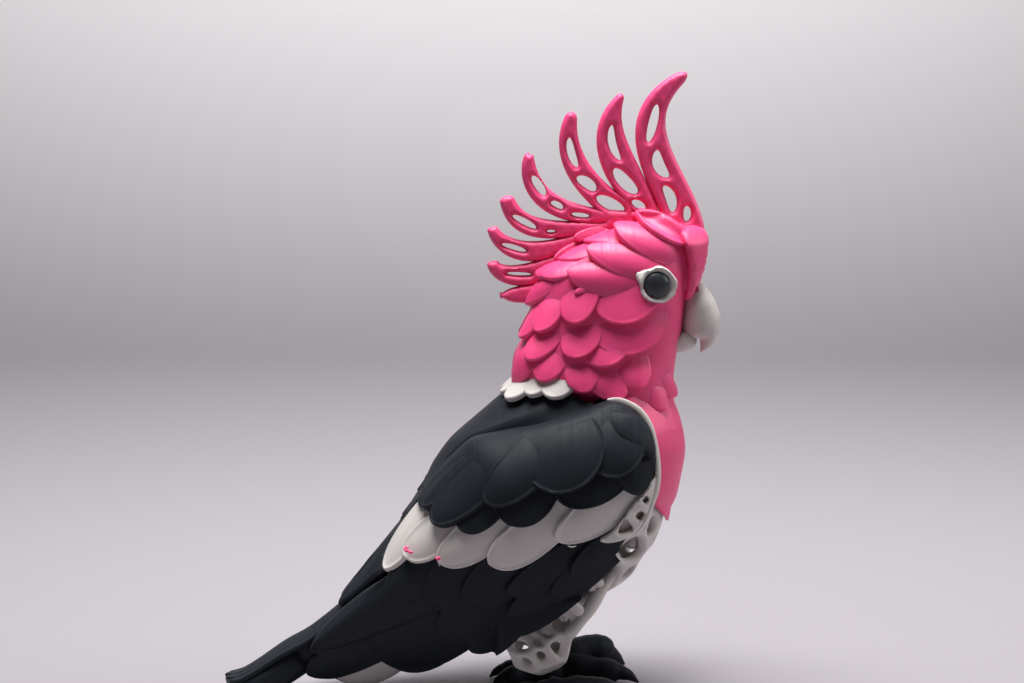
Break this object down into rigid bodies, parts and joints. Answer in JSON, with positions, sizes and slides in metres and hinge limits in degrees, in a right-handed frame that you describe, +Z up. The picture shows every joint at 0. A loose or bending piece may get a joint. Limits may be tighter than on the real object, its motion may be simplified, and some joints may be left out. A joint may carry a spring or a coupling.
{
  "type": "printed plastic galah figurine",
  "caption": "Desk figurine of a galah cockatoo printed in pink, off-white and charcoal plastic, with an openwork crest, an openwork belly and legs, folded wings and four-toed feet",
  "frame": {"origin": "on the floor, under the middle of the figurine's bounding box", "axes": "+X is the bird's left, -Y is the way the bird faces, +Z is up"},
  "size_m": [0.072, 0.1494, 0.1891],
  "materials": {
    "pink": "satin printed plastic with fine horizontal layer lines",
    "white": "satin off-white printed plastic with fine horizontal layer lines",
    "charcoal": "matte charcoal printed plastic with fine horizontal layer lines"
  },
  "bodies": {
    "root": {"head": "pink", "neck": "pink", "breast": "pink", "crest_1": "pink", "crest_2": "pink", "crest_3": "pink", "crest_4": "pink", "crest_5": "pink", "crest_6": "pink", "crest_7": "pink", "crest_8": "pink", "beak_upper": "white", "beak_lower": "white", "eye_ring_L": "white", "eye_ring_R": "white", "nape_collar": "white", "trunk": "white", "thigh_L": "white", "thigh_R": "white", "undertail": "white", "wing_band_L": "white", "wing_band_R": "white", "wing_edging_L": "white", "wing_edging_R": "white", "eye_L": "charcoal", "eye_R": "charcoal", "mantle": "charcoal", "tail": "charcoal", "foot_L": "charcoal", "foot_R": "charcoal", "wing_coverts_L": "charcoal", "wing_coverts_R": "charcoal", "wing_secondaries_L": "charcoal", "wing_secondaries_R": "charcoal", "wing_primaries_L": "charcoal", "wing_primaries_R": "charcoal"}
  },
  "joints": []
}
